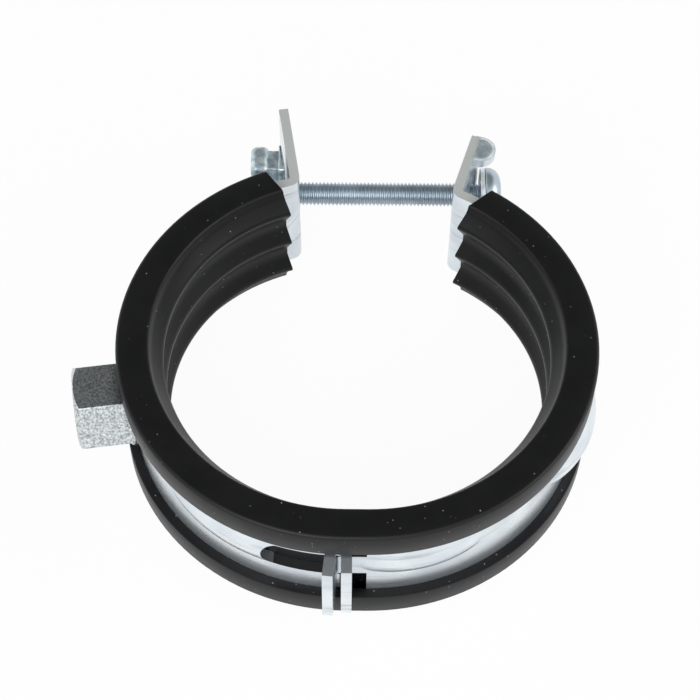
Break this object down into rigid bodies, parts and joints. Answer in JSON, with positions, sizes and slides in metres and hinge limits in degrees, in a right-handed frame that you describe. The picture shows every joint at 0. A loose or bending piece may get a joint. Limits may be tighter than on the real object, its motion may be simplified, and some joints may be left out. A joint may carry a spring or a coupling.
{
  "type": "rubber lined pipe clamp",
  "caption": "Hinged steel pipe clamp with a ribbed black rubber lining, a closing screw between two flanges and a side nut for a threaded rod.",
  "frame": {"origin": "on the pipe axis of the half that carries the nut, at mid width", "axes": "+Z along the pipe axis, +X along the closing screw toward its head, -Y toward the hinge, +Y toward the closing screw"},
  "size_m": [0.1046, 0.1097, 0.0294],
  "materials": {
    "zinc_steel": "bright zinc plated sheet",
    "black_rubber": "matt moulded rubber",
    "nut_steel": "dull mottled zinc plate",
    "screw_steel": "bright zinc plate"
  },
  "bodies": {
    "nut_half": {"nut_side_band": "zinc_steel", "nut_side_lining": "black_rubber", "connection_nut": "nut_steel", "captive_bar_nut": "nut_steel"},
    "swing_half": {"swing_side_band": "zinc_steel", "swing_side_lining": "black_rubber"},
    "washer": {"closing_washer": "zinc_steel"},
    "screw": {"closing_screw": "screw_steel"}
  },
  "joints": [
    {"name": "clamp_hinge", "type": "hinge", "parent": "nut_half", "child": "swing_half", "pos_m": [0.0004, -0.0433, 0], "axis": [0, 0, 1], "range_deg": [-2, 8]},
    {"name": "screw_advance", "type": "slide", "parent": "nut_half", "child": "washer", "axis": [-1, 0, 0], "range_m": [-0.0035, 0.014]},
    {"name": "screw_turn", "type": "hinge", "parent": "washer", "child": "screw", "pos_m": [0.03, 0.0474, 0], "axis": [-1, 0, 0], "range_deg": [-1572, 6286]}
  ],
  "couplings": [
    {"joint": "screw_advance", "follows": "clamp_hinge", "m_per_rad": 0.1},
    {"joint": "screw_turn", "follows": "clamp_hinge", "ratio": 785.4}
  ]
}
